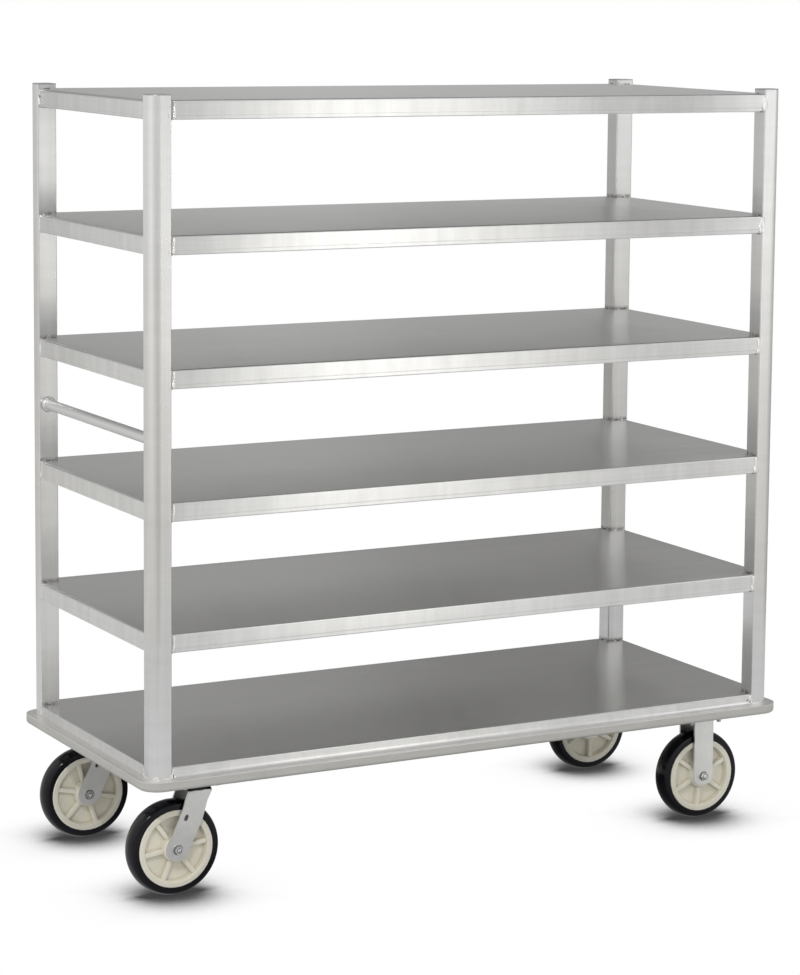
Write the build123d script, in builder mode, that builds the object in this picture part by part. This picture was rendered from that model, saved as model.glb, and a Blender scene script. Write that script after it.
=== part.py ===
from build123d import *
import math
import os

os.makedirs("parts", exist_ok=True)

# Aluminium utility cart: four corner posts, five shelves, a base deck with a
# flat-nosed bumper all round, a push handle at the -X end, two swivel casters
# under the handle end and two rigid casters under the other end.
# Frame: +X along the length, -Y is the near long side, +Z up, floor at Z = 0,
# origin at the middle of the footprint.  All lengths in millimetres.

# ------------------------------------------------------------ dimensions ----
half_len = 763.4          # outer face of the posts, along X
half_wid = 333.3          # outer face of the posts, along Y

post_w = 44.4             # side of the square post tube
post_wall = 3.0
post_corner_r = 20.5      # the large outward corner of each post
post_edge_r = 3.4         # the other three corners
post_foot_z = 251.3
post_top_z = 1672.0
cap_t = 2.3

shelf_tops = [1662.7, 1390.4, 1118.1, 845.8, 573.5]   # shelf 1 is the highest
base_top = 295.6
deck_t = 3.0
deck_edge_r = 2.6

rail_h = 36.3             # rail under the deck sheet
rail_w = 25.4
rail_wall = 2.5
rail_r = 2.4
end_rail_r = 5.0          # outer top corner of the end rails
rail_set = 3.5            # rails sit this far behind the post faces

base_step_z = 281.1       # below this the base rail sweeps out in a cove
base_bottom = 251.3
base_end_set = 0.4        # the base's end faces sit this far behind the post faces
cove_r = 8.7              # cove from the base rail's face down to the bumper's ledge

bumper_d = 22.3           # how far the bumper stands out of the post faces
bumper_r = 6.5            # lower corner of its nose
bumper_lip_r = 1.6        # upper corner of its nose
bumper_wall = 3.0

handle_x = -741.4
handle_z = 971.0
handle_r = 11.9
handle_wall = 2.0
collar_r = 16.3
collar_t = 3.0

stiff_x = 254.0           # hat stiffeners at +/- this X under every deck
stiff_w = 38.0
stiff_h = 24.0
stiff_t = 2.0
stiff_flange = 12.0

caster_x = 630.2          # rigid axle line and swivel axis
caster_y = 242.9
channel_w = 112.0
channel_t = 4.0
plate_z = 242.0           # top of the caster plates
plate_t = 5.6
plate_x = 102.0
plate_y = 97.0
bolt_dx = 37.2
bolt_dy = 35.4
bolt_r = 4.0
bolt_hole_r = 4.5
bolt_head_t = 5.3

wheel_r = 101.6
tyre_w = 45.0
tyre_drop = 6.0           # the crowned tread falls this much at its edges
tyre_edge_r = 4.0
core_r = 82.9
core_half = 24.4          # rim face of the core from the middle of the wheel
rim_in_r = 71.0
web_half = 11.0
boss_r = 28.5
rib_half = 21.0
rib_w = 8.6
trail = 50.5              # swivel axis to wheel axis

fork_in = 27.4            # half of the gap between the legs
fork_t = 4.8
leg_w = 50.3
crown_z = 226.2           # top of the swivel fork's crown
crown_t = 4.7
crown_r = 33.0
race_up_r = 34.5          # upper race, under the plate
race_low_r = 32.5         # lower race, on the crown
race_t = 4.8
race_gap = 0.3
rake_deg = 25.2           # lean of the swivel fork's legs
rigid_leg_z = 81.5
rigid_leg_r = 18.6

axle_r = 6.0
sleeve_r = 8.5
run_clear = 0.05          # radial running clearance
fit_clear = 0.02          # between fixed round pieces

# derived
rail_face_y = half_wid - rail_set
rail_face_x = half_len - rail_set
base_face_x = half_len - base_end_set
ledge_z = base_step_z - cove_r     # flat top of the bumper
inner_x = half_len - post_w        # faces of the posts that look inward
inner_y = half_wid - post_w
post_cx = half_len - post_w / 2
post_cy = half_wid - post_w / 2
rail_in_y = rail_face_y - rail_w   # inner faces of the rails
rail_in_x = rail_face_x - rail_w
corner_cx = half_len - post_corner_r
corner_cy = half_wid - post_corner_r
fork_out = fork_in + fork_t
plate_under = plate_z - plate_t
race_top_under = plate_under - race_t
posts = {"front_left": (-1, -1), "front_right": (1, -1),
         "rear_left": (-1, 1), "rear_right": (1, 1)}


# ------------------------------------------------------------------ posts ----
for place, (sx, sy) in posts.items():
    with BuildPart() as post:
        with BuildSketch(Plane.XY.offset(post_foot_z)):
            with Locations((sx * post_cx, sy * post_cy)):
                Rectangle(post_w, post_w)
            outer = vertices().sort_by(lambda v: sx * v.X + sy * v.Y)
            fillet(outer[-1:], radius=post_corner_r)
            others = vertices().filter_by(lambda v: abs(v.X) < inner_x + 1 or abs(v.Y) < inner_y + 1)
            fillet(others, radius=post_edge_r)
            offset(amount=-post_wall, mode=Mode.SUBTRACT)
        extrude(amount=post_top_z - post_foot_z)
    post.part.label = "post_" + place
    export_step(post.part, "parts/post_" + place + ".step")

# thin plates that close the tops of the posts
with BuildPart() as post_caps:
    for place, (sx, sy) in posts.items():
        with BuildSketch(Plane.XY.offset(post_top_z)) as cap_sketch:
            with Locations((sx * post_cx, sy * post_cy)):
                Rectangle(post_w, post_w)
            outer = vertices().sort_by(lambda v: sx * v.X + sy * v.Y)
            fillet(outer[-1:], radius=post_corner_r)
            others = vertices().filter_by(lambda v: abs(v.X) < inner_x + 1 or abs(v.Y) < inner_y + 1)
            fillet(others, radius=post_edge_r)
        extrude(cap_sketch.sketch, amount=cap_t)
    fillet(edges().group_by(Axis.Z)[-1], radius=1.0)
post_caps.part.label = "post_caps"
export_step(post_caps.part, "parts/post_caps.step")


# --------------------------------------------------------------- shelves ----
for number, top in enumerate(shelf_tops, start=1):
    shelf = "shelf_%d_" % number

    # sheet deck, notched round the posts, with rounded outer top edges
    with BuildPart() as deck:
        with BuildSketch(Plane.XY.offset(top - deck_t)):
            Rectangle(2 * rail_face_x, 2 * rail_face_y)
            with GridLocations(2 * post_cx, 2 * post_cy, 2, 2):
                Rectangle(post_w, post_w, mode=Mode.SUBTRACT)
        extrude(amount=deck_t)
        rim = edges().group_by(Axis.Z)[-1].filter_by(
            lambda e: abs(abs(e.center().Y) - rail_face_y) < 0.01 or abs(abs(e.center().X) - rail_face_x) < 0.01)
        fillet(rim, radius=deck_edge_r)
    deck.part.label = shelf + "deck"
    export_step(deck.part, "parts/" + shelf + "deck.step")

    # long rails between the posts, rectangular tube
    zc = top - deck_t - rail_h / 2
    for side, sy in (("front", -1), ("rear", 1)):
        with BuildPart() as long_rail:
            with BuildSketch(Plane.YZ.offset(-inner_x)):
                with Locations((sy * (rail_face_y - rail_w / 2), zc)):
                    Rectangle(rail_w, rail_h)
                fillet(vertices().group_by(Axis.Y)[0], radius=rail_r)
                with Locations((sy * (rail_face_y - rail_w / 2), zc)):
                    RectangleRounded(rail_w - 2 * rail_wall, rail_h - 2 * rail_wall, 1.0, mode=Mode.SUBTRACT)
            extrude(amount=2 * inner_x)
        long_rail.part.label = shelf + side + "_rail"
        export_step(long_rail.part, "parts/" + shelf + side + "_rail.step")

    # the two end rails
    with BuildPart() as end_rails:
        with BuildSketch(Plane.XZ.offset(inner_y)):
            with Locations((-(rail_face_x - rail_w / 2), zc), (rail_face_x - rail_w / 2, zc)):
                Rectangle(rail_w, rail_h)
            fillet(vertices().group_by(Axis.Y)[0], radius=rail_r)
            fillet(vertices().group_by(Axis.Y)[-1].filter_by(lambda v: abs(v.X) > rail_face_x - 1), radius=end_rail_r)
            with Locations((-(rail_face_x - rail_w / 2), zc), (rail_face_x - rail_w / 2, zc)):
                RectangleRounded(rail_w - 2 * rail_wall, rail_h - 2 * rail_wall, 1.0, mode=Mode.SUBTRACT)
        extrude(amount=-2 * inner_y)
    end_rails.part.label = shelf + "end_rails"
    export_step(end_rails.part, "parts/" + shelf + "end_rails.step")


# ------------------------------------------------------------------ base ----
with BuildPart() as base_deck:
    with BuildSketch(Plane.XY.offset(base_top - deck_t)):
        Rectangle(2 * base_face_x, 2 * rail_face_y)
        with GridLocations(2 * post_cx, 2 * post_cy, 2, 2):
            Rectangle(post_w, post_w, mode=Mode.SUBTRACT)
    extrude(amount=deck_t)
    rim = edges().group_by(Axis.Z)[-1].filter_by(
        lambda e: abs(abs(e.center().Y) - rail_face_y) < 0.01 or abs(abs(e.center().X) - base_face_x) < 0.01)
    fillet(rim, radius=deck_edge_r)
base_deck.part.label = "base_deck"
export_step(base_deck.part, "parts/base_deck.step")

# base rails: a hollow section whose face sweeps out in a cove to the post
# face, where the bumper carries the cove on down to its ledge
base_rail_top = base_top - deck_t
def on_cove(face, across):
    """Height of the cove at a distance from the middle of the cart, for a rail face at `face`."""
    return base_step_z - math.sqrt(cove_r ** 2 - (cove_r - (across - face)) ** 2)

for side, sy in (("front", -1), ("rear", 1)):
    with BuildPart() as base_rail:
        with BuildSketch(Plane.YZ.offset(-inner_x)):
            with BuildLine():
                mid = (rail_face_y + half_wid) / 2 - 1
                Polyline((sy * rail_face_y, base_step_z), (sy * rail_face_y, base_rail_top),
                         (sy * rail_in_y, base_rail_top), (sy * rail_in_y, base_bottom),
                         (sy * half_wid, base_bottom), (sy * half_wid, on_cove(rail_face_y, half_wid)))
                ThreePointArc((sy * half_wid, on_cove(rail_face_y, half_wid)),
                              (sy * mid, on_cove(rail_face_y, mid)), (sy * rail_face_y, base_step_z))
            make_face()
            with Locations((sy * (rail_in_y + rail_face_y) / 2, (base_bottom + base_rail_top) / 2)):
                Rectangle(rail_w - 2 * rail_wall, base_rail_top - base_bottom - 2 * rail_wall, mode=Mode.SUBTRACT)
        extrude(amount=2 * inner_x)
    base_rail.part.label = "base_" + side + "_rail"
    export_step(base_rail.part, "parts/base_" + side + "_rail.step")

with BuildPart() as base_end_rails:
    for sx in (-1, 1):
        with BuildSketch(Plane.XZ.offset(inner_y)) as end_section:
            with BuildLine():
                Polyline((sx * rail_in_x, base_bottom), (sx * half_len, base_bottom),
                         (sx * half_len, on_cove(rail_face_x, half_len)), (sx * base_face_x, base_step_z),
                         (sx * base_face_x, base_rail_top), (sx * rail_in_x, base_rail_top), close=True)
            make_face()
            with Locations((sx * (rail_in_x + rail_face_x) / 2, (base_bottom + base_rail_top) / 2)):
                Rectangle(rail_w - 2 * rail_wall, base_rail_top - base_bottom - 2 * rail_wall, mode=Mode.SUBTRACT)
        extrude(end_section.sketch, amount=-2 * inner_y)
base_end_rails.part.label = "base_end_rails"
export_step(base_end_rails.part, "parts/base_end_rails.step")


# ---------------------------------------------------------------- bumper ----
# hollow section with a coved top, a flat ledge and a flat nose
cove_out = rail_face_y + cove_r - half_wid         # where the cove meets the ledge
cove_in_z = on_cove(rail_face_y, half_wid)         # where it leaves the base rail
cove_mid = (cove_out * 0.5, on_cove(rail_face_y, half_wid + cove_out * 0.5))
hollow_z = (base_bottom + ledge_z) / 2
hollow_w = bumper_d - 2 * bumper_wall
hollow_h = ledge_z - base_bottom - 2 * bumper_wall
for side, sy in (("front", -1), ("rear", 1)):
    with BuildPart() as bumper_bar:
        with BuildSketch(Plane.YZ.offset(-corner_cx)):
            with BuildLine():
                Polyline((sy * half_wid, cove_in_z), (sy * half_wid, base_bottom),
                         (sy * (half_wid + bumper_d), base_bottom), (sy * (half_wid + bumper_d), ledge_z),
                         (sy * (half_wid + cove_out), ledge_z))
                ThreePointArc((sy * (half_wid + cove_out), ledge_z),
                              (sy * (half_wid + cove_mid[0]), cove_mid[1]), (sy * half_wid, cove_in_z))
            make_face()
            nose = vertices().filter_by(lambda v: abs(v.X) > half_wid + bumper_d - 1)
            fillet(nose.group_by(Axis.Y)[0], radius=bumper_r)
            fillet(nose.group_by(Axis.Y)[-1], radius=bumper_lip_r)
            with Locations((sy * (half_wid + bumper_d / 2), hollow_z)):
                RectangleRounded(hollow_w, hollow_h, 3.5, mode=Mode.SUBTRACT)
        extrude(amount=2 * corner_cx)
    bumper_bar.part.label = "bumper_" + side
    export_step(bumper_bar.part, "parts/bumper_" + side + ".step")

with BuildPart() as bumper_ends:
    for sx in (-1, 1):
        with BuildSketch(Plane.XZ.offset(corner_cy)) as end_bar:
            with BuildLine():
                Polyline((sx * half_len, cove_in_z), (sx * half_len, base_bottom),
                         (sx * (half_len + bumper_d), base_bottom), (sx * (half_len + bumper_d), ledge_z),
                         (sx * (half_len + cove_out), ledge_z))
                ThreePointArc((sx * (half_len + cove_out), ledge_z),
                              (sx * (half_len + cove_mid[0]), cove_mid[1]), (sx * half_len, cove_in_z))
            make_face()
            nose = vertices().filter_by(lambda v: abs(v.X) > half_len + bumper_d - 1)
            fillet(nose.group_by(Axis.Y)[0], radius=bumper_r)
            fillet(nose.group_by(Axis.Y)[-1], radius=bumper_lip_r)
            with Locations((sx * (half_len + bumper_d / 2), hollow_z)):
                RectangleRounded(hollow_w, hollow_h, 3.5, mode=Mode.SUBTRACT)
        extrude(end_bar.sketch, amount=-2 * corner_cy)
bumper_ends.part.label = "bumper_ends"
export_step(bumper_ends.part, "parts/bumper_ends.step")

# the four bends, each a quarter turn about the post's own corner axis
with BuildPart() as bumper_corners:
    for place, (sx, sy) in posts.items():
        with BuildSketch(Plane((sx * corner_cx, sy * corner_cy, 0), x_dir=(sx, 0, 0), z_dir=(0, -sx, 0))) as bend:
            with BuildLine():
                Polyline((post_corner_r, cove_in_z), (post_corner_r, base_bottom),
                         (post_corner_r + bumper_d, base_bottom), (post_corner_r + bumper_d, ledge_z),
                         (post_corner_r + cove_out, ledge_z))
                ThreePointArc((post_corner_r + cove_out, ledge_z),
                              (post_corner_r + cove_mid[0], cove_mid[1]), (post_corner_r, cove_in_z))
            make_face()
            nose = vertices().filter_by(lambda v: abs(v.X) > post_corner_r + bumper_d - 1)
            fillet(nose.group_by(Axis.Y)[0], radius=bumper_r)
            fillet(nose.group_by(Axis.Y)[-1], radius=bumper_lip_r)
            with Locations((post_corner_r + bumper_d / 2, hollow_z)):
                RectangleRounded(hollow_w, hollow_h, 3.5, mode=Mode.SUBTRACT)
        revolve(bend.sketch, axis=Axis((sx * corner_cx, sy * corner_cy, 0), (0, 0, sx * sy)), revolution_arc=90)
bumper_corners.part.label = "bumper_corners"
export_step(bumper_corners.part, "parts/bumper_corners.step")


# ---------------------------------------------------------------- handle ----
with BuildPart() as push_handle:
    with BuildSketch(Plane.XZ.offset(inner_y)):
        with Locations((handle_x, handle_z)):
            Circle(handle_r)
            Circle(handle_r - handle_wall, mode=Mode.SUBTRACT)
    extrude(amount=-2 * inner_y)
push_handle.part.label = "push_handle"
export_step(push_handle.part, "parts/push_handle.step")

with BuildPart() as handle_collars:
    for y0, direction in ((-inner_y, -1), (inner_y, 1)):
        with BuildSketch(Plane.XZ.offset(-y0)) as ring:
            with Locations((handle_x, handle_z)):
                Circle(collar_r)
                Circle(handle_r + fit_clear, mode=Mode.SUBTRACT)
        extrude(ring.sketch, amount=direction * collar_t)
handle_collars.part.label = "handle_collars"
export_step(handle_collars.part, "parts/handle_collars.step")


# ----------------------------------------------------- under-deck pieces ----
# hat sections that stiffen each deck sheet from below
with BuildPart() as deck_stiffeners:
    for under in [t - deck_t for t in shelf_tops + [base_top]]:
        for x0 in (-stiff_x, stiff_x):
            with BuildSketch(Plane.XZ.offset(rail_in_y)) as hat:
                with Locations((x0, under - stiff_h / 2)):
                    Rectangle(stiff_w, stiff_h)
                with Locations((x0, under - stiff_h / 2 + stiff_t)):
                    Rectangle(stiff_w - 2 * stiff_t, stiff_h, mode=Mode.SUBTRACT)
                with Locations((x0 - (stiff_w + stiff_flange) / 2, under - stiff_t / 2),
                               (x0 + (stiff_w + stiff_flange) / 2, under - stiff_t / 2)):
                    Rectangle(stiff_flange, stiff_t)
            extrude(hat.sketch, amount=-2 * rail_in_y)
deck_stiffeners.part.label = "deck_stiffeners"
export_step(deck_stiffeners.part, "parts/deck_stiffeners.step")

# box channels across the base that carry the casters
channel_h = base_rail_top - plate_z
bolt_points = [(ex * bolt_dx, sy * caster_y + ey * bolt_dy)
               for sy in (-1, 1) for ex in (-1, 1) for ey in (-1, 1)]
for end, sx in (("left", -1), ("right", 1)):
    with BuildPart() as channel:
        with BuildSketch(Plane.XZ.offset(rail_in_y)):
            with Locations((sx * caster_x, plate_z + channel_h / 2)):
                Rectangle(channel_w, channel_h)
                Rectangle(channel_w - 2 * channel_t, channel_h - 2 * channel_t, mode=Mode.SUBTRACT)
        extrude(amount=-2 * rail_in_y)
        with BuildSketch(Plane.XY.offset(plate_z - 1)):
            with Locations(*[(sx * caster_x + px, py) for px, py in bolt_points]):
                Circle(bolt_hole_r)
        extrude(amount=channel_t + 2, mode=Mode.SUBTRACT)
    channel.part.label = "caster_channel_" + end
    export_step(channel.part, "parts/caster_channel_" + end + ".step")

# mounting bolts, heads below the plates, nuts inside the channels
with BuildPart() as caster_bolts:
    for sx in (-1, 1):
        spots = [(sx * caster_x + px, py) for px, py in bolt_points]
        with BuildSketch(Plane.XY.offset(plate_under - bolt_head_t)) as heads:
            with Locations(*spots):
                RegularPolygon(7.2, 6)
        extrude(heads.sketch, amount=bolt_head_t)
        with BuildSketch(Plane.XY.offset(plate_under - 0.5)) as shanks:
            with Locations(*spots):
                Circle(bolt_r)
        extrude(shanks.sketch, amount=plate_t + channel_t + 9.5)
        with BuildSketch(Plane.XY.offset(plate_z + channel_t)) as nuts:
            with Locations(*spots):
                RegularPolygon(7.2, 6)
        extrude(nuts.sketch, amount=6.5)
caster_bolts.part.label = "caster_bolts"
export_step(caster_bolts.part, "parts/caster_bolts.step")


# -------------------------------------------------------- swivel casters ----
for place, sy in (("front", -1), ("rear", 1)):
    cx, cy = -caster_x, sy * caster_y

    # mounting plate with the upper race pressed into its underside
    with BuildPart() as swivel_plate:
        with BuildSketch(Plane.XY.offset(plate_under)):
            with Locations((cx, cy)):
                RectangleRounded(plate_x, plate_y, 8)
                with GridLocations(2 * bolt_dx, 2 * bolt_dy, 2, 2):
                    Circle(bolt_hole_r, mode=Mode.SUBTRACT)
        extrude(amount=plate_t)
        with BuildSketch(Plane.XY.offset(race_top_under)):
            with Locations((cx, cy)):
                Circle(race_up_r)
        extrude(amount=race_t)
        with BuildSketch(Plane.XY.offset(race_top_under - 1)):
            with Locations((cx, cy)):
                Circle(axle_r + fit_clear)
        extrude(amount=plate_t + race_t + 2, mode=Mode.SUBTRACT)
    swivel_plate.part.label = "swivel_plate_" + place
    export_step(swivel_plate.part, "parts/swivel_plate_" + place + ".step")

    # fork: a folded U with raked legs, a lower race on its crown
    ax_x, ax_z = cx - trail, wheel_r
    rake = math.radians(rake_deg)
    ux, uz = math.sin(rake), math.cos(rake)
    hw = leg_w / 2
    low_l = (ax_x - hw * uz, ax_z + hw * ux)
    low_r = (ax_x + hw * uz, ax_z - hw * ux)
    bottom = (ax_x - hw * ux, ax_z - hw * uz)
    up_l = (low_l[0] + 70 * ux, low_l[1] + 70 * uz)
    up_r = (low_r[0] + 78 * ux, low_r[1] + 78 * uz)
    with BuildPart() as swivel_fork:
        with BuildSketch(Plane.YZ.offset(ax_x - 60)):
            with Locations((cy, crown_z - 100)):
                Rectangle(2 * fork_out, 200)
            fillet(vertices().group_by(Axis.Y)[-1], radius=7)
            with Locations((cy, crown_z - crown_t - 150)):
                Rectangle(2 * fork_in, 300, mode=Mode.SUBTRACT)
            inner_top = vertices().filter_by(lambda v: abs(v.Y - (crown_z - crown_t)) < 0.01)
            fillet(inner_top, radius=2.5)
        extrude(amount=170)
        with BuildSketch(Plane.XZ.offset(-cy)) as side_view:
            with BuildLine():
                ThreePointArc(low_l, bottom, low_r)
                Polyline(low_r, up_r, (cx + 17, crown_z - 25), (cx + 27, crown_z - 5.5), (cx + 27, crown_z),
                         (cx - 24.3, crown_z), up_l, low_l)
            make_face()
        extrude(side_view.sketch, amount=60, both=True, mode=Mode.INTERSECT)
        with BuildSketch(Plane.XY.offset(crown_z - crown_t)) as crown:
            with Locations((cx, cy)):
                Circle(crown_r)
        extrude(crown.sketch, amount=crown_t)
        with BuildSketch(Plane.XY.offset(crown_z)) as race:
            with Locations((cx, cy)):
                Circle(race_low_r)
        extrude(race.sketch, amount=race_top_under - race_gap - crown_z)
        with BuildSketch(Plane.XY.offset(crown_z - 20)) as pin_hole:
            with Locations((cx, cy)):
                Circle(axle_r + run_clear)
        extrude(pin_hole.sketch, amount=40, mode=Mode.SUBTRACT)
        with BuildSketch(Plane.XZ.offset(-cy)) as axle_hole:
            with Locations((ax_x, ax_z)):
                Circle(axle_r + fit_clear)
        extrude(axle_hole.sketch, amount=60, both=True, mode=Mode.SUBTRACT)
        with BuildSketch(Plane.XZ.offset(-cy)) as slot:
            with Locations((cx - 31.3, 168.0)):
                SlotOverall(14.0, 8.0, rotation=90 - rake_deg)
        extrude(slot.sketch, amount=60, both=True, mode=Mode.SUBTRACT)
    swivel_fork.part.label = "swivel_fork_" + place
    export_step(swivel_fork.part, "parts/swivel_fork_" + place + ".step")

# kingpins: shank riveted in the plate, head below the crown
with BuildPart() as swivel_kingpins:
    for sy in (-1, 1):
        with BuildSketch(Plane.XY.offset(crown_z - crown_t - race_gap - 6)) as pin_head:
            with Locations((-caster_x, sy * caster_y)):
                Circle(12)
        extrude(pin_head.sketch, amount=6)
        with BuildSketch(Plane.XY.offset(crown_z - crown_t - race_gap - 1)) as pin_shank:
            with Locations((-caster_x, sy * caster_y)):
                Circle(axle_r)
        extrude(pin_shank.sketch, amount=plate_z - (crown_z - crown_t - race_gap - 1))
swivel_kingpins.part.label = "swivel_kingpins"
export_step(swivel_kingpins.part, "parts/swivel_kingpins.step")


# --------------------------------------------------------- rigid casters ----
for place, sy in (("front", -1), ("rear", 1)):
    cx, cy = caster_x, sy * caster_y
    with BuildPart() as rigid_fork:
        # folded U, straight legs with rounded lower corners
        with BuildSketch(Plane.YZ.offset(cx - leg_w / 2)):
            with Locations((cy, plate_z - 110)):
                Rectangle(2 * fork_out, 220)
            with Locations((cy, plate_under - 150)):
                Rectangle(2 * fork_in, 300, mode=Mode.SUBTRACT)
            inner_top = vertices().filter_by(lambda v: abs(v.Y - plate_under) < 0.01)
            fillet(inner_top, radius=4)
        extrude(amount=leg_w)
        with BuildSketch(Plane.XZ.offset(-cy)) as side_view:
            with Locations((cx, (rigid_leg_z + plate_z) / 2)):
                Rectangle(leg_w, plate_z - rigid_leg_z)
            fillet(vertices().group_by(Axis.Y)[0], radius=rigid_leg_r)
        extrude(side_view.sketch, amount=60, both=True, mode=Mode.INTERSECT)
        with BuildSketch(Plane.XY.offset(plate_under)) as plate:
            with Locations((cx, cy)):
                RectangleRounded(plate_x, plate_y, 8)
                with GridLocations(2 * bolt_dx, 2 * bolt_dy, 2, 2):
                    Circle(bolt_hole_r, mode=Mode.SUBTRACT)
        extrude(plate.sketch, amount=plate_t)
        with BuildSketch(Plane.XZ.offset(-cy)) as axle_hole:
            with Locations((cx, wheel_r)):
                Circle(axle_r + fit_clear)
        extrude(axle_hole.sketch, amount=60, both=True, mode=Mode.SUBTRACT)
    rigid_fork.part.label = "rigid_fork_" + place
    export_step(rigid_fork.part, "parts/rigid_fork_" + place + ".step")


# ------------------------------------------------------- wheels and axles ----
wheels = {"swivel_front": (-caster_x - trail, -caster_y), "swivel_rear": (-caster_x - trail, caster_y),
          "rigid_front": (caster_x, -caster_y), "rigid_rear": (caster_x, caster_y)}
rib_start = {"swivel_front": 7.0, "swivel_rear": 47.0, "rigid_front": 25.0, "rigid_rear": 31.0}
bore_r = sleeve_r + run_clear
boss_half = fork_in - 0.3

for place, (wx, wy) in wheels.items():
    # moulded core: rim, web, boss and six ribs on each side
    with BuildPart() as core:
        with BuildSketch(Plane((wx, wy, wheel_r), x_dir=(1, 0, 0), z_dir=(0, 0, 1))) as half_section:
            with BuildLine():
                Polyline((bore_r, -boss_half), (boss_r - 3.5, -boss_half), (boss_r - 2.0, -rib_half),
                         (boss_r, -web_half), (rim_in_r - 2.0, -web_half), (rim_in_r, -core_half),
                         (core_r, -core_half), (core_r, core_half), (rim_in_r, core_half),
                         (rim_in_r - 2.0, web_half), (boss_r, web_half), (boss_r - 2.0, rib_half),
                         (boss_r - 3.5, boss_half), (bore_r, boss_half), close=True)
            make_face()
        revolve(half_section.sketch, axis=Axis((wx, wy, wheel_r), (0, 1, 0)), revolution_arc=360)
        with BuildSketch(Plane((wx, wy, wheel_r), x_dir=(1, 0, 0), z_dir=(0, -1, 0))) as ribs:
            with PolarLocations((boss_r + rim_in_r) / 2 - 1.0, 6, start_angle=rib_start[place]):
                Rectangle(rim_in_r - boss_r + 5.0, rib_w)
        extrude(ribs.sketch, amount=rib_half, both=True)
    core.part.label = "wheel_core_" + place
    export_step(core.part, "parts/wheel_core_" + place + ".step")

    # bonded tyre with a crowned tread and rounded shoulders
    edge_y = tyre_w / 2
    with BuildPart() as tyre:
        with BuildSketch(Plane((wx, wy, wheel_r), x_dir=(1, 0, 0), z_dir=(0, 0, 1))) as tread:
            with BuildLine():
                ThreePointArc((wheel_r - tyre_drop, -edge_y), (wheel_r, 0), (wheel_r - tyre_drop, edge_y))
                Polyline((wheel_r - tyre_drop, edge_y), (core_r, edge_y), (core_r, -edge_y),
                         (wheel_r - tyre_drop, -edge_y))
            make_face()
            fillet(vertices().group_by(Axis.X)[-1], radius=tyre_edge_r)
        revolve(tread.sketch, axis=Axis((wx, wy, wheel_r), (0, 1, 0)), revolution_arc=360)
    tyre.part.label = "tyre_" + place
    export_step(tyre.part, "parts/tyre_" + place + ".step")

for name, spots in (("axle_swivel_front", [wheels["swivel_front"]]),
                    ("axle_swivel_rear", [wheels["swivel_rear"]]),
                    ("axles_rigid", [wheels["rigid_front"], wheels["rigid_rear"]])):
    # through bolt with a washer face, clamped sleeve and nut
    with BuildPart() as axle:
        for wx, wy in spots:
            near = Plane((wx, wy - fork_out, wheel_r), x_dir=(1, 0, 0), z_dir=(0, -1, 0))
            far = Plane((wx, wy + fork_out, wheel_r), x_dir=(1, 0, 0), z_dir=(0, 1, 0))
            with BuildSketch(near) as washer:
                Circle(11.2)
            extrude(washer.sketch, amount=1.6)
            with BuildSketch(near) as head:
                RegularPolygon(9.4, 6)
            extrude(head.sketch, amount=8.2)
            with BuildSketch(near) as shank:
                Circle(axle_r)
            extrude(shank.sketch, amount=-(2 * fork_out + 12))
            with BuildSketch(far) as nut:
                RegularPolygon(9.4, 6)
                Circle(axle_r + fit_clear, mode=Mode.SUBTRACT)
            extrude(nut.sketch, amount=8.6)
            with BuildSketch(Plane((wx, wy - fork_in, wheel_r), x_dir=(1, 0, 0), z_dir=(0, 1, 0))) as sleeve:
                Circle(sleeve_r)
                Circle(axle_r + fit_clear, mode=Mode.SUBTRACT)
            extrude(sleeve.sketch, amount=2 * fork_in)
    axle.part.label = name
    export_step(axle.part, "parts/" + name + ".step")
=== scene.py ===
import bpy, bmesh, math, random
from mathutils import Matrix, Vector


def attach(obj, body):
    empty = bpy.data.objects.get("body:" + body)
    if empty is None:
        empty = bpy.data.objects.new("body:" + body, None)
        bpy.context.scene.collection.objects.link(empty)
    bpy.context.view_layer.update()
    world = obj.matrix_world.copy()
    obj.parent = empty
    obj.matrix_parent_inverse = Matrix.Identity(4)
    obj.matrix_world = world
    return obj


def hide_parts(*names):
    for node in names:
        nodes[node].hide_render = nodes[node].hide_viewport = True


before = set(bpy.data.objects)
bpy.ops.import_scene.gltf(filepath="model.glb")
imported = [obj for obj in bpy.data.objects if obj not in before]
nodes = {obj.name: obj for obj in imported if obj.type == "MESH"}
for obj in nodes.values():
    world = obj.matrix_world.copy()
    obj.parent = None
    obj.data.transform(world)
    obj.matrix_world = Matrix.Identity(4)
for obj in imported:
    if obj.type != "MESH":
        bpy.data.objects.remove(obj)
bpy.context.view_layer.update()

scene = bpy.context.scene


# ------------------------------------------------------------------ camera ----
# long-lens view of the front long side and the handle end
VIEW_AZ, VIEW_EL, VIEW_ROLL = math.radians(29.487), math.radians(7.154), math.radians(0.679)
FOCAL_PX, CENTRE_X, CENTRE_Y = 3038.252, 480.0, 360.0
CAM_AT = Vector((-3.173218, -5.937183, 1.910974))

ahead = Vector((math.sin(VIEW_AZ) * math.cos(VIEW_EL), math.cos(VIEW_AZ) * math.cos(VIEW_EL), -math.sin(VIEW_EL)))
level = Vector((math.cos(VIEW_AZ), -math.sin(VIEW_AZ), 0.0))
plumb = level.cross(ahead)
right = level * math.cos(VIEW_ROLL) + plumb * math.sin(VIEW_ROLL)
upward = plumb * math.cos(VIEW_ROLL) - level * math.sin(VIEW_ROLL)
cam_data = bpy.data.cameras.new("camera")
cam_data.sensor_fit = "AUTO"
cam_data.sensor_width = 36.0
cam_data.lens = FOCAL_PX / 975.0 * 36.0
cam_data.shift_x = (400.0 - CENTRE_X) / 975.0
cam_data.shift_y = (CENTRE_Y - 487.5) / 975.0
cam_data.clip_start, cam_data.clip_end = 0.1, 200.0
cam = bpy.data.objects.new("camera", cam_data)
scene.collection.objects.link(cam)
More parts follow.
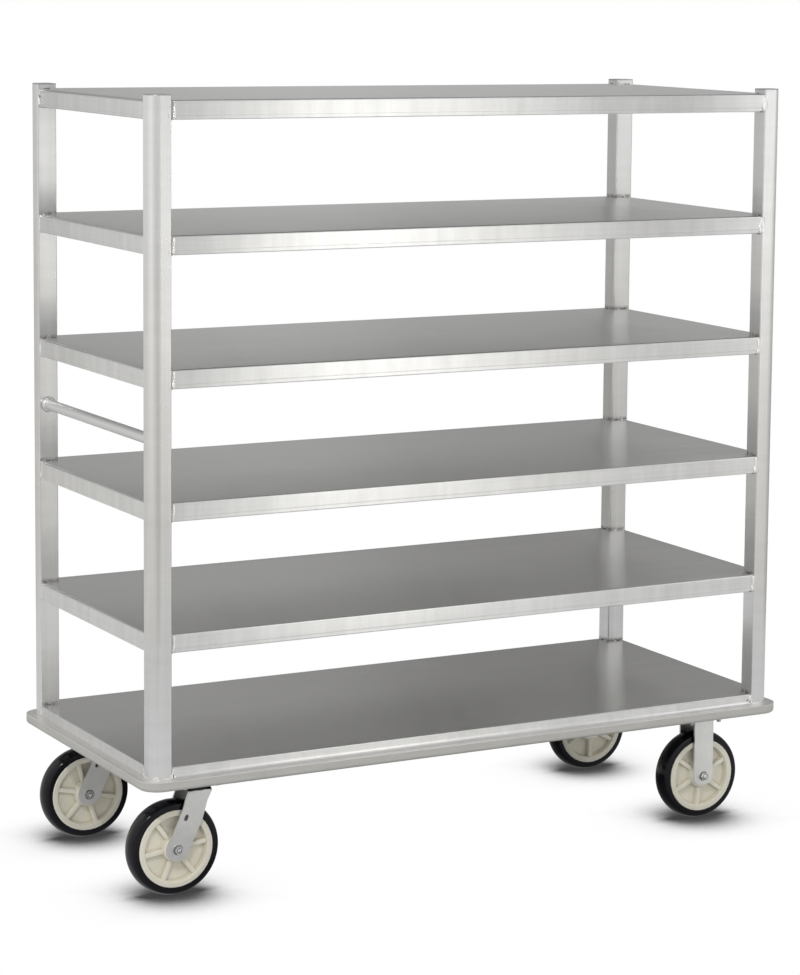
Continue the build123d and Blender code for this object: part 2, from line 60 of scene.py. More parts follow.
cam.matrix_world = Matrix(((right.x, upward.x, -ahead.x, CAM_AT.x),
                           (right.y, upward.y, -ahead.y, CAM_AT.y),
                           (right.z, upward.z, -ahead.z, CAM_AT.z),
                           (0, 0, 0, 1)))
scene.camera = cam
scene.view_settings.view_transform = "Standard"
scene.view_settings.look = "None"


# ------------------------------------------------------------ node helpers ----
class Net:
    """A small builder for shader node trees."""

    def __init__(self, tree):
        self.t = tree
        tree.nodes.clear()

    def add(self, kind, **settings):
        n = self.t.nodes.new(kind)
        for key, value in settings.items():
            setattr(n, key, value)
        return n

    def link(self, a, b):
        self.t.links.new(a, b)

    def put(self, socket, value):
        if hasattr(value, "is_output") or hasattr(value, "links"):
            self.link(value, socket)
        else:
            socket.default_value = value

    def math(self, op, a, b=0.0, clamp=False):
        n = self.add("ShaderNodeMath", operation=op, use_clamp=clamp)
        self.put(n.inputs[0], a)
        self.put(n.inputs[1], b)
        return n.outputs[0]

    def remap(self, value, a, b, c, d, smooth=False):
        n = self.add("ShaderNodeMapRange", interpolation_type="SMOOTHSTEP" if smooth else "LINEAR")
        self.put(n.inputs["Value"], value)
        for key, v in (("From Min", a), ("From Max", b), ("To Min", c), ("To Max", d)):
            n.inputs[key].default_value = v
        return n.outputs["Result"]

    def blend(self, factor, a, b, mode="MIX"):
        n = self.add("ShaderNodeMix", data_type="RGBA", blend_type=mode)
        self.put(n.inputs["Factor"], factor)
        self.put(n.inputs[6], a)
        self.put(n.inputs[7], b)
        return n.outputs[2]

    def coords(self, scale=(1, 1, 1), shift=(0, 0, 0)):
        tc = self.add("ShaderNodeTexCoord")
        mp = self.add("ShaderNodeMapping")
        self.link(tc.outputs["Object"], mp.inputs["Vector"])
        mp.inputs["Scale"].default_value = scale
        mp.inputs["Location"].default_value = shift
        return mp.outputs["Vector"]

    def noise(self, vector, scale=1.0, detail=2.0, rough=0.5, warp=0.0):
        n = self.add("ShaderNodeTexNoise")
        self.link(vector, n.inputs["Vector"])
        n.inputs["Scale"].default_value = scale
        n.inputs["Detail"].default_value = detail
        n.inputs["Roughness"].default_value = rough
        n.inputs["Distortion"].default_value = warp
        return n.outputs["Fac"]


def rgb(*c):
    return (c[0], c[1], c[2], 1.0)


def surface(name):
    m = bpy.data.materials.new(name)
    m.use_nodes = True
    net = Net(m.node_tree)
    out = net.add("ShaderNodeOutputMaterial")
    bsdf = net.add("ShaderNodeBsdfPrincipled")
    net.link(bsdf.outputs[0], out.inputs["Surface"])
    return m, net, bsdf


def bump(net, bsdf, height, strength, distance):
    b = net.add("ShaderNodeBump")
    b.inputs["Strength"].default_value = strength
    b.inputs["Distance"].default_value = distance
    net.link(height, b.inputs["Height"])
    net.link(b.outputs["Normal"], bsdf.inputs["Normal"])


def metal(name, grain, dark, light, rough_lo, rough_hi, fine=900.0, along=6.0, bump_by=0.05, tint=(1, 1, 1), drawn=0.9,
          blotchy=0.3, bars=0.0, finish=None):
    """Drawn or rolled metal: fine streaks along the grain axis, broad soft blotches and faint handling marks."""
    m, net, bsdf = surface(name)
    if drawn:
        turn = net.add("ShaderNodeTangent", direction_type="RADIAL", axis="XYZ"[grain])
        net.link(turn.outputs["Tangent"], bsdf.inputs["Tangent"])
        bsdf.inputs["Anisotropic"].default_value = drawn
    scale = [fine, fine, fine]
    scale[grain] = along
    streaks = net.noise(net.coords(scale), 1.0, 3.0, 0.6)
    wide = [fine / 9.0] * 3
    wide[grain] = along / 4.0
    bands = net.noise(net.coords(wide, (3.1, 1.7, 8.3)), 1.0, 2.0, 0.5)
    blotch = net.noise(net.coords((5, 5, 5), (0.3, 7.7, 2.9)), 1.0, 3.0, 0.55)
    marks = net.noise(net.coords((38, 38, 38), (5.3, 0.7, 1.9)), 1.0, 4.0, 0.7, 0.6)
    mixed = net.math("ADD", net.math("MULTIPLY", streaks, 0.45), net.math("MULTIPLY", bands, 0.55))
    tone = net.remap(mixed, 0.33, 0.67, 0.0, 1.0)
    tone = net.math("ADD", net.math("MULTIPLY", tone, 1.0 - blotchy), net.math("MULTIPLY", net.remap(blotch, 0.3, 0.7, 0.0, 1.0), blotchy))
    if bars:
        # soft bands across the grain, from the rolls and from handling
        cross = [4.0, 4.0, 4.0]
        cross[grain] = 34.0
        tone = net.math("ADD", tone, net.remap(net.noise(net.coords(cross, (2.2, 6.1, 0.4)), 1.0, 4.0, 0.65), 0.3, 0.7, -bars, bars))
    colour = net.blend(tone, rgb(*[dark * t for t in tint]), rgb(*[light * t for t in tint]))
    rough = net.remap(net.math("ADD", net.math("MULTIPLY", mixed, 0.6), net.math("MULTIPLY", marks, 0.4)), 0.3, 0.7, rough_lo, rough_hi)
    if finish:
        colour, rough = finish(net, colour, rough)
    net.link(colour, bsdf.inputs["Base Color"])
    net.link(rough, bsdf.inputs["Roughness"])
    bsdf.inputs["Metallic"].default_value = 1.0
    if bump_by:
        bump(net, bsdf, mixed, bump_by, 0.0004)
    return m


X, Y, Z = 0, 1, 2
SHELF_TOPS = (1.6627, 1.3904, 1.1181, 0.8458, 0.5735)
BASE_TOP = 0.2956


def joint_soot_and_shade(net, colour, rough):
    """Grey weld soot on the posts' inward faces, just above each deck, in ragged patches, that also paints the contact
    shade where deck and post meet; painted shade on the rear posts.
    """
    geo = net.add("ShaderNodeNewGeometry")
    tc = net.add("ShaderNodeTexCoord")
    at = net.add("ShaderNodeSeparateXYZ")
    net.link(tc.outputs["Object"], at.inputs[0])
    way = net.add("ShaderNodeSeparateXYZ")
    net.link(geo.outputs["True Normal"], way.inputs[0])
    inward = net.math("ADD", net.math("MULTIPLY", net.math("SIGN", at.outputs["X"]), way.outputs["X"]),
                      net.math("MULTIPLY", net.math("SIGN", at.outputs["Y"]), way.outputs["Y"]))
    inward = net.remap(inward, -0.9, -0.5, 1.0, 0.0)
    ragged = net.noise(net.coords((120, 120, 60), (4.1, 2.2, 0.6)), 1.0, 3.0, 0.7)
    near = None
    for top in SHELF_TOPS[1:] + (BASE_TOP,):
        away = net.math("SUBTRACT", at.outputs["Z"], top)
        here = net.math("MULTIPLY", net.remap(away, -0.001, 0.001, 0.0, 1.0), net.remap(away, 0.002, 0.010, 0.85, 0.0, smooth=True))
        near = here if near is None else net.math("MAXIMUM", near, here)
    # the ragged patches: weld soot and painted contact shade
    mask = net.math("MULTIPLY", net.math("MULTIPLY", near, inward), net.remap(ragged, 0.32, 0.58, 0.0, 1.0))
    # the two rear posts get a painted shade, and the foot of the left one painted light against it
    rear_left_low_light = net.math("MULTIPLY", net.remap(at.outputs["X"], -0.1, 0.1, 0.19, 0.0), net.remap(at.outputs["Z"], 0.35, 1.2, 1.0, 0.0))
    rear_post_shade = net.math("MULTIPLY", net.remap(at.outputs["Y"], -0.1, 0.1, 0.0, 1.0), net.math("SUBTRACT", 0.11, rear_left_low_light))
    colour = net.blend(1.0, colour, net.math("SUBTRACT", 1.0, rear_post_shade), mode="MULTIPLY")
    return (net.blend(mask, colour, rgb(0.33, 0.315, 0.3)), net.math("ADD", rough, net.math("MULTIPLY", mask, 0.2)))


post_metal = metal("post_metal", Z, 0.76, 0.89, 0.27, 0.29, fine=300.0, along=3.0, bump_by=0.0, blotchy=0.3, bars=0.2, finish=joint_soot_and_shade)
# the caps darker than the posts: painted shade for the dark reflection on their rounded edge
cap_shade_metal = metal("cap_shade_metal", X, 0.42, 0.56, 0.38, 0.5, drawn=0.3)
rail_x = metal("rail_metal_long", X, 0.74, 0.87, 0.29, 0.35, fine=420.0, along=4.0, bump_by=0.02, blotchy=0.35, bars=0.4)
rail_y = metal("rail_metal_end", Y, 0.74, 0.84, 0.32, 0.42, blotchy=0.4, bars=0.55)
deck_metal = metal("deck_metal", X, 0.64, 0.70, 0.258, 0.268, fine=420.0, along=2.2, bump_by=0.0, drawn=0.88, tint=(1.0, 0.995, 0.98))
handle_metal = metal("handle_metal", Y, 0.74, 0.84, 0.36, 0.46, drawn=0.5)
# darker metal for the bends of the top three decks: painted shade
bend_shade_metal = metal("bend_shade_metal", X, 0.30, 0.42, 0.4, 0.5, drawn=0.0)
channel_metal = metal("channel_metal", Y, 0.6, 0.7, 0.4, 0.5)


def crown_and_leg_shade(net, colour, rough):
    """Painted shade, near black, on the plating above the crown and on the faces next to the wheel."""
    tc = net.add("ShaderNodeTexCoord")
    at = net.add("ShaderNodeSeparateXYZ")
    net.link(tc.outputs["Object"], at.inputs[0])
    # the painted shade starts lower on the swivel forks, over their race, than on the rigid ones
    lift = net.remap(at.outputs["X"], -0.1, 0.1, -0.0026, 0.006)
    under_deck_shade = net.remap(net.math("SUBTRACT", at.outputs["Z"], lift), 0.2250, 0.2266, 0.0, 1.0)
    aside = net.math("ABSOLUTE", net.math("SUBTRACT", net.math("ABSOLUTE", at.outputs["Y"]), 0.2429))
    inner_leg_shade = net.remap(aside, 0.0273, 0.0277, 0.8, 0.0)
    mask = net.math("MAXIMUM", under_deck_shade, inner_leg_shade)
    return (net.blend(mask, colour, rgb(0.05, 0.05, 0.052)), net.math("ADD", rough, net.math("MULTIPLY", mask, 0.15)))


caster_metal = metal("caster_metal", Z, 0.70, 0.90, 0.38, 0.50, fine=90.0, along=60.0, tint=(1.0, 1.0, 0.985), drawn=0.0, blotchy=0.55, finish=crown_and_leg_shade)
bolt_metal = metal("bolt_metal", Z, 0.68, 0.82, 0.2, 0.3, fine=200.0, along=200.0, tint=(0.97, 0.985, 1.0), drawn=0.0)
weld_metal = metal("weld_metal", Z, 0.86, 0.99, 0.22, 0.36, fine=500.0, along=500.0, bump_by=0.12, drawn=0.0)


def bumper(name, grain):
    """Satin aluminium on the cove and ledge, a matte grey nose strip on the flat face."""
    m, net, bsdf = surface(name)
    tc = net.add("ShaderNodeTexCoord")
    at = net.add("ShaderNodeSeparateXYZ")
    net.link(tc.outputs["Object"], at.inputs[0])
    nose = net.remap(at.outputs["Z"], 0.27105, 0.27135, 1.0, 0.0)
    scale = [700.0] * 3
    scale[grain] = 5.0
    if grain == Z:
        scale = [160.0] * 3
    streaks = net.noise(net.coords(scale), 1.0, 3.0, 0.6)
    cloud = net.noise(net.coords((14, 14, 60)), 1.0, 3.0, 0.55)
    scuffs = net.noise(net.coords((90, 90, 160), (1.1, 5.2, 0.4)), 1.0, 5.0, 0.75, 0.8)
    aluminium = net.blend(net.remap(streaks, 0.35, 0.65, 0, 1), rgb(0.78, 0.775, 0.76), rgb(0.88, 0.875, 0.86))
    vinyl = net.blend(net.remap(cloud, 0.3, 0.7, 0, 1), rgb(0.50, 0.495, 0.47), rgb(0.56, 0.555, 0.53))
    vinyl = net.blend(net.remap(scuffs, 0.60, 0.72, 0.0, 0.45), vinyl, rgb(0.68, 0.675, 0.65))
    # darker towards the lower edge, most on the end bars: painted shade for the rounded nose
    low = {X: 0.90, Y: 0.76, Z: 0.86}[grain]
    vinyl = net.blend(1.0, vinyl, net.remap(at.outputs["Z"], 0.2503, 0.2610, low, 1.0), mode="MULTIPLY")
    net.link(net.blend(nose, aluminium, vinyl), bsdf.inputs["Base Color"])
    net.link(net.math("SUBTRACT", 1.0, net.math("MULTIPLY", nose, 0.85)), bsdf.inputs["Metallic"])
    rough = net.math("ADD", net.remap(streaks, 0.3, 0.7, 0.34, 0.42), net.math("MULTIPLY", nose, 0.12))
    net.link(net.math("ADD", rough, net.math("MULTIPLY", scuffs, 0.06)), bsdf.inputs["Roughness"])
    bump(net, bsdf, scuffs, 0.05, 0.0004)
    return m


bumper_x, bumper_y, bumper_c = bumper("bumper_long", X), bumper("bumper_end", Y), bumper("bumper_bend", Z)


def soot():
    # near-black soot, also used as painted shade in gaps, holes and crevices
    m, net, bsdf = surface("weld_soot_shade")
    cloud = net.noise(net.coords((260, 260, 260)), 1.0, 4.0, 0.7)
    net.link(net.blend(net.remap(cloud, 0.35, 0.65, 0, 1), rgb(0.07, 0.066, 0.06), rgb(0.24, 0.225, 0.205)), bsdf.inputs["Base Color"])
    net.link(net.remap(cloud, 0.3, 0.7, 0.5, 0.75), bsdf.inputs["Roughness"])
    bsdf.inputs["Metallic"].default_value = 0.3
    bump(net, bsdf, cloud, 0.3, 0.0005)
    return m


weld_soot_shade = soot()


def toe():
    # grey weld toe: soot, and painted shade in the narrow gap beside each bead
    m, net, bsdf = surface("weld_toe")
    cloud = net.noise(net.coords((180, 180, 60)), 1.0, 4.0, 0.65)
    net.link(net.blend(net.remap(cloud, 0.35, 0.65, 0, 1), rgb(0.36, 0.355, 0.345), rgb(0.56, 0.55, 0.54)), bsdf.inputs["Base Color"])
    net.link(net.remap(cloud, 0.3, 0.7, 0.45, 0.6), bsdf.inputs["Roughness"])
    bsdf.inputs["Metallic"].default_value = 0.9
    bump(net, bsdf, cloud, 0.2, 0.0004)
    return m


weld_toe = toe()


def plastic():
    m, net, bsdf = surface("core_plastic")
    cloud = net.noise(net.coords((30, 30, 30)), 1.0, 3.0, 0.55)
    specks = net.noise(net.coords((260, 260, 260)), 1.0, 2.0, 0.6)
    tone = net.math("ADD", net.math("MULTIPLY", cloud, 0.7), net.math("MULTIPLY", specks, 0.3))
    colour = net.blend(net.remap(tone, 0.35, 0.65, 0, 1), rgb(0.80, 0.765, 0.648), rgb(0.885, 0.855, 0.737))
    geo = net.add("ShaderNodeNewGeometry")
    # lighter on the convex edges: a painted highlight on rib tops and rims
    edge_highlight = net.remap(geo.outputs["Pointiness"], 0.505, 0.53, 0.0, 0.5)
    colour = net.blend(edge_highlight, colour, rgb(0.93, 0.915, 0.83))
    # darker and brownish in the hollows: painted shade in the recesses
    crevice_shade = net.remap(geo.outputs["Pointiness"], 0.44, 0.495, 0.65, 0.0)
    colour = net.blend(crevice_shade, colour, rgb(0.42, 0.36, 0.25))
    net.link(colour, bsdf.inputs["Base Color"])
    net.link(net.remap(tone, 0.35, 0.65, 0.36, 0.5), bsdf.inputs["Roughness"])
    bsdf.inputs["Specular IOR Level"].default_value = 0.45
    bump(net, bsdf, specks, 0.06, 0.0005)
    return m


def rubber():
    m, net, bsdf = surface("tyre_rubber")
    cloud = net.noise(net.coords((22, 22, 22)), 1.0, 3.0, 0.6)
    grit = net.noise(net.coords((420, 420, 420)), 1.0, 2.0, 0.6)
    colour = net.blend(net.remap(cloud, 0.3, 0.7, 0, 1), rgb(0.0035, 0.0035, 0.0055), rgb(0.007, 0.007, 0.011))
    net.link(colour, bsdf.inputs["Base Color"])
    net.link(net.remap(cloud, 0.3, 0.7, 0.10, 0.14), bsdf.inputs["Roughness"])
    bsdf.inputs["Specular IOR Level"].default_value = 0.28
    bump(net, bsdf, grit, 0.01, 0.0003)
    return m


core_plastic = plastic()
tyre_rubber = rubber()


def wear(node_name):
    n = node_name
    if n == "post_caps": return cap_shade_metal
    if n.startswith("post_"): return post_metal
    if n.endswith("deck"): return deck_metal
    if n.endswith("end_rails"): return rail_y
    if n.endswith("rail"): return rail_x
    if n == "bumper_ends": return bumper_y
    if n == "bumper_corners": return bumper_c
    if n.startswith("bumper"): return bumper_x
    if n in ("push_handle", "handle_collars"): return handle_metal
    if n.startswith("caster_channel") or n == "deck_stiffeners": return channel_metal
    if n.startswith("swivel_plate") or "fork" in n: return caster_metal
    if n in ("swivel_kingpins", "caster_bolts") or n.startswith("axle"): return bolt_metal
    if n.startswith("wheel_core"): return core_plastic
    return tyre_rubber


for name, obj in nodes.items():
    obj.data.materials.clear()
    obj.data.materials.append(wear(name))


# ------------------------------------------------------------ pieces ----
def build(name, verts, faces, material, body, replaced=(), sharp=40.0):
    me = bpy.data.meshes.new(name)
    me.from_pydata([tuple(v) for v in verts], [], faces)
    bm = bmesh.new()
    bm.from_mesh(me)
    bmesh.ops.recalc_face_normals(bm, faces=bm.faces)
    bm.to_mesh(me)
    bm.free()
    me.shade_smooth()
    me.set_sharp_from_angle(angle=math.radians(sharp))
    me.materials.append(material)
    ob = bpy.data.objects.new(name, me)
    scene.collection.objects.link(ob)
    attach(ob, body)
    if replaced:
        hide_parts(*replaced)
    return ob


INNER_X, INNER_Y = 0.7190, 0.2889
OUT_X, OUT_Y = 0.7634, 0.3333


# shelf decks: one sheet notched round the posts, its edges folded down over the rails
def fold_path(reach, radius, depth, skin, thick):
    """Half a folded section: (distance out, drop) pairs for the outside and for the inside of the sheet."""
    outer = [(0.0, 0.0)]
    for k in range(9):
        a = math.radians(90 - 90 * k / 8)
        outer.append((reach - radius + radius * math.cos(a), -radius + radius * math.sin(a)))
    outer += [(reach, -radius - 0.0008), (reach, -radius - 0.006), (reach, -depth + 0.0030), (reach, -depth + 0.0007),
              (reach - 0.00012, -depth + 0.00025), (reach - 0.0004, -depth)]
    face = reach - skin
    ri = max(radius - skin - 0.0008, 0.0002)
    inner = [(0.0, -thick)]
    for k in range(9):
        a = math.radians(90 - 90 * k / 8)
        inner.append((face - ri + ri * math.cos(a), -thick - ri + ri * math.sin(a)))
    inner += [(face, -thick - ri - 0.0008), (face, -thick - ri - 0.005), (face, -depth + 0.0030), (face, -depth + 0.0007),
              (face, -depth + 0.0003), (face, -depth)]
    return outer, inner


def folded_deck(name, top, body, replaced, material, front_depth, end_depth):
    fo, fi = fold_path(0.3306, 0.0032, front_depth, 0.0008, 0.0030)
    eo, ei = fold_path(0.7607, 0.0078, end_depth, 0.0008, 0.0030)

    def ladder(path, inner_line):
        keep = [(inner_line, path[0][1])] + path[1:]
        return [(-d, h) for d, h in reversed(keep)], keep

    verts, faces, index = [], [], {}
    for layer, (front, end) in enumerate(((fo, eo), (fi, ei))):
        v_lo, v_hi = ladder(front, INNER_Y)
        u_lo, u_hi = ladder(end, INNER_X)
        inside_y = [(-INNER_Y + 2 * INNER_Y * k / 6, front[0][1]) for k in range(1, 6)]
        inside_x = [(-INNER_X + 2 * INNER_X * k / 12, end[0][1]) for k in range(1, 12)]
        us = u_lo + inside_x + u_hi
        vs = v_lo + inside_y + v_hi
        nu, nv = len(us), len(vs)
        cut_u, cut_v = len(u_lo) - 1, len(v_lo) - 1
        for i, (ux, uh) in enumerate(us):
            for j, (vy, vh) in enumerate(vs):
                if (i < cut_u or i > nu - 1 - cut_u) and (j < cut_v or j > nv - 1 - cut_v):
                    continue
                flat = -0.0030 if layer else 0.0
                index[layer, i, j] = len(verts)
                verts.append((ux, vy, top + (uh - flat) + (vh - flat) + flat))
    edges = {}
    for layer in (0, 1):
        for i in range(nu - 1):
            for j in range(nv - 1):
                quad = [(i, j), (i + 1, j), (i + 1, j + 1), (i, j + 1)]
                if all((layer, a, b) in index for a, b in quad):
                    faces.append([index[layer, a, b] for a, b in (quad if layer == 0 else reversed(quad))])
                    if layer == 0:
                        for k in range(4):
                            e = (quad[k], quad[(k + 1) % 4])
                            edges[e] = edges.get(e, 0) + 1
    for (a, b), count in edges.items():
        if (b, a) not in edges:
            faces.append([index[0, a[0], a[1]], index[0, b[0], b[1]], index[1, b[0], b[1]], index[1, a[0], a[1]]])
    return build(name, verts, faces, material, body, replaced, sharp=30.0)


for number, top in enumerate(SHELF_TOPS, start=1):
    deck = folded_deck("folded_deck_%d" % number, top, "frame", ["shelf_%d_deck" % number], deck_metal, 0.0306, 0.0325)
    # the folded edges keep the rail's drawn finish
    deck.data.materials.append(rail_x)
    deck.data.materials.append(rail_y)
    deck.data.materials.append(bend_shade_metal)
    for poly in deck.data.polygons:
        c = poly.center
        if abs(poly.normal.z) < 0.55:
            poly.material_index = 1 if abs(c.y) > INNER_Y else 2
        # the bends of the top three decks take the darker metal, a painted shade
        elif abs(poly.normal.z) < 0.999 and abs(c.y) > INNER_Y and number <= 3:
            poly.material_index = 3


# weld beads
dice = random.Random(41)


def tube(path, radii, closed=False, sides=10):
    verts, faces, prev, n = [], [], None, len(path)
    for i, (p, r) in enumerate(zip(path, radii)):
        a = path[(i - 1) % n] if closed or i else path[0]
        b = path[(i + 1) % n] if closed or i < n - 1 else path[-1]
        t = (b - a).normalized()
        side = t.orthogonal().normalized() if prev is None else (prev - t * prev.dot(t)).normalized()
        prev = side
        other = t.cross(side)
        for k in range(sides):
            w = math.tau * k / sides
            verts.append(p + (side * math.cos(w) + other * math.sin(w)) * r)
    for i in range(n if closed else n - 1):
        for k in range(sides):
            j = (i + 1) % n
            faces.append([i * sides + k, i * sides + (k + 1) % sides, j * sides + (k + 1) % sides, j * sides + k])
    if not closed:
        faces.append(list(range(sides))[::-1])
        faces.append([(n - 1) * sides + k for k in range(sides)])
    return verts, faces


def bead(start, end, radius, pitch=0.0030, wander=0.25, flat=None, ripple=0.22):
    """A run of weld: overlapping drops, a little uneven, thinner at both ends. flat squeezes it along one direction."""
    start, end = Vector(start), Vector(end)
    length = (end - start).length
    steps = max(6, int(length / pitch * 4))
    along = (end - start).normalized()
    side = along.orthogonal().normalized()
    other = along.cross(side)
    p1, p2, p3 = dice.uniform(0, 6.3), dice.uniform(0, 6.3), dice.uniform(0, 6.3)
    path, radii = [], []
    for i in range(steps + 1):
        f = i / steps
        s_at = f * length
        drop = abs(math.sin(math.pi * s_at / pitch + p1))
        taper = min(1.0, 0.35 + 6.0 * min(f, 1 - f))
        slow = 0.12 * math.sin(s_at / 0.0075 + p2) + 0.08 * math.sin(s_at / 0.0031 + p3)
        radii.append(radius * taper * (1 - ripple + ripple * drop + slow))
        off = wander * radius
        path.append(start.lerp(end, f) + side * off * math.sin(s_at / 0.009 + p3) + other * off * math.sin(s_at / 0.0065 + p1))
    verts, faces = tube(path, radii, sides=12)
    if flat:
        n, k = Vector(flat).normalized(), 0.55
        mid = (start + end) / 2
        verts = [v - n * (v - mid).dot(n) * (1 - k) for v in verts]
    return verts, faces


def gather(name, parts, material, body, sharp=75.0):
    verts, faces = [], []
    for v, f in parts:
        base = len(verts)
        verts += v
        faces += [[i + base for i in face] for face in f]
    return build(name, verts, faces, material, body, sharp=sharp)


# the third list holds dark beads: weld soot, painted shade and painted reflection beside the welds
bright, toes, smoke_shade = [], [], []
for level_no, top in enumerate(SHELF_TOPS + (BASE_TOP,)):
    base = level_no == 5
    low = top - (0.0393 if not base else 0.0145)
    for sx in (-1, 1):
        for sy in (-1, 1):
            # long rails to the posts: grey toe in the corner, painted shade for the gap beside the post, bright bead
            # beside it
            gap = (0.0050, 0.0036, 0.0034, 0.0030, 0.0030, 0.0022)[level_no]
            x_bead = INNER_X - gap - 0.0026
            face_y = 0.3304 if not base else 0.3298
            if sx > 0:
                bright.append(bead((INNER_X - 0.0022, sy * (face_y + 0.0004), low + 0.0005), (INNER_X - 0.0028, sy * (face_y + 0.0004), top - 0.0015), 0.0037,
                                   pitch=0.0042, wander=0.3, flat=(0, 1, 0)))
                bright.append(bead((INNER_X + 0.0006, sy * (face_y + 0.0014), low + 0.002), (INNER_X + 0.0004, sy * (face_y + 0.0014), top - 0.003), 0.0018,
                                   pitch=0.0042, wander=0.3, flat=(0, 1, 0)))
                # a dark bead under the rail end: weld soot and painted shade
                smoke_shade.append(bead((INNER_X - 0.0066, sy * (face_y - 0.0004), low + 0.001), (INNER_X - 0.0118, sy * (face_y - 0.0004), low + 0.0004), 0.0012, pitch=0.0024))
            else:
                bright.append(bead((sx * (x_bead + 0.0012), sy * face_y, low + 0.0005), (sx * x_bead, sy * face_y, top - 0.0035), 0.0031, flat=(0, 1, 0)))
                toes.append(bead((sx * (INNER_X - 0.0008), sy * (face_y - 0.0006), low - 0.0012), (sx * (INNER_X - gap / 2), sy * (face_y - 0.0002), top - 0.0004),
                                 gap * 0.62 + 0.0006, wander=0.1, flat=(0, 1, 0), ripple=0.08))
            # a thin bright line where the bead laps onto the post
            bright.append(bead((sx * (INNER_X + 0.0058), sy * (OUT_Y - 0.0002), low + 0.003), (sx * (INNER_X + 0.0052), sy * (OUT_Y - 0.0002), top - 0.002), 0.0007,
                               pitch=0.0036, wander=1.2))
            # end rails to the posts
            out = 0.7604 if not base else 0.7630
            bright.append(bead((sx * out, sy * (INNER_Y - 0.0018), low + 0.001), (sx * (out - 0.0004), sy * (INNER_Y - 0.0022), top - 0.006), 0.0023, flat=(1, 0, 0)))
            toes.append(bead((sx * (out - 0.0005), sy * (INNER_Y + 0.0002), low + 0.001), (sx * (out - 0.0005), sy * (INNER_Y + 0.0002), top - 0.002), 0.0013,
                             wander=0.1, flat=(1, 0, 0), ripple=0.08))
            if not base:
                # across the undersides of both rails
                bright.append(bead((sx * (INNER_X - 0.0012), sy * 0.3280, top - 0.0390), (sx * (INNER_X - 0.0014), sy * 0.3070, top - 0.0390), 0.0020))
                bright.append(bead((sx * 0.7580, sy * (INNER_Y - 0.0012), top - 0.0390), (sx * 0.7370, sy * (INNER_Y - 0.0014), top - 0.0390), 0.0020))
            # tacks where the deck sheet meets the posts' inner faces; the dark ones are weld soot and a painted dark
            # reflection in the deck
            for k in range(3):
                f0 = dice.uniform(0.02, 0.7)
                f1 = min(0.98, f0 + dice.uniform(0.12, 0.3))
                r = dice.uniform(0.0009, 0.0017)
                y0, y1 = OUT_Y - 0.004 - 0.038 * f0, OUT_Y - 0.004 - 0.038 * f1
                (smoke_shade if k != 1 else bright).append(bead((sx * (INNER_X - 0.0006), sy * y0, top + 0.0002), (sx * (INNER_X - 0.0008), sy * y1, top + 0.0002), r, pitch=0.0024))
                f0 = dice.uniform(0.02, 0.7)
                f1 = min(0.98, f0 + dice.uniform(0.12, 0.3))
                r = dice.uniform(0.0009, 0.0017)
                x0, x1 = OUT_X - 0.006 - 0.038 * f0, OUT_X - 0.006 - 0.038 * f1
                (smoke_shade if k != 1 else bright).append(bead((sx * x0, sy * (INNER_Y - 0.0006), top + 0.0002), (sx * x1, sy * (INNER_Y - 0.0008), top + 0.0002), r, pitch=0.0024))
    # small drops of spatter near each joint
    for k in range(34):
        sx, sy = dice.choice((-1, 1)), dice.choice((-1, 1))
        if dice.random() < 0.5:
            at = Vector((sx * (INNER_X - dice.uniform(0.006, 0.03)), sy * (0.3306 if not base else 0.3298), top - dice.uniform(0.008, 0.028 if not base else 0.013)))
            lean = Vector((0.0006, 0, 0.0002))
        else:
            at = Vector((sx * (0.7607 if not base else 0.763), sy * (INNER_Y - dice.uniform(0.006, 0.03)), top - dice.uniform(0.01, 0.03 if not base else 0.013)))
            lean = Vector((0, 0.0006, 0.0002))
        bright.append(bead(at, at + lean, dice.uniform(0.0003, 0.0006), pitch=0.001, wander=0.0))
# feet of the posts on the base rails and bumper
for sx in (-1, 1):
    for sy in (-1, 1):
        bright.append(bead((sx * (OUT_X - 0.0205), sy * (OUT_Y + 0.0002), 0.2735), (sx * (INNER_X + 0.0015), sy * (OUT_Y + 0.0002), 0.2740), 0.0013, pitch=0.0026))
        bright.append(bead((sx * (OUT_X + 0.0002), sy * (OUT_Y - 0.0205), 0.2735), (sx * (OUT_X + 0.0002), sy * (INNER_Y + 0.0015), 0.2740), 0.0013, pitch=0.0026))
        bright.append(bead((sx * (INNER_X + 0.0005), sy * (OUT_Y - 0.0002), 0.2740), (sx * (INNER_X - 0.0006), sy * (OUT_Y - 0.0030), 0.2820), 0.0014))
        bright.append(bead((sx * (OUT_X - 0.0002), sy * (INNER_Y + 0.0005), 0.2740), (sx * (OUT_X - 0.0004), sy * (INNER_Y - 0.0006), 0.2820), 0.0014))
        # a dark bead in the inner corner of each foot: weld soot and painted contact shade
        smoke_shade.append(bead((sx * (INNER_X - 0.0030), sy * (OUT_Y - 0.0026), 0.2790), (sx * (INNER_X - 0.0046), sy * (OUT_Y - 0.0026), 0.2730), 0.0016, pitch=0.0024))
for k in range(60):
    at = Vector((-0.7607, INNER_Y - dice.uniform(0.001, 0.030), 1.6627 - dice.uniform(0.010, 0.034)))
    bright.append(bead(at, at + Vector((0, 0.0007, 0.0002)), dice.uniform(0.0005, 0.0010), pitch=0.001, wander=0.0))
smoke_shade.append(bead((-0.7608, 0.2840, 1.6480), (-0.7608, 0.2755, 1.6465), 0.0016, pitch=0.003))
bright.append(bead((-0.7155, -0.3338, 0.2757), (-0.7118, -0.3338, 0.2760), 0.0026, pitch=0.004))
smoke_shade.append(bead((-0.7168, -0.3334, 0.2738), (-0.7102, -0.3334, 0.2742), 0.0012, pitch=0.004))
bright.append(bead((0.7060, -0.3338, 0.2760), (0.7162, -0.3336, 0.2768), 0.0017, pitch=0.003))
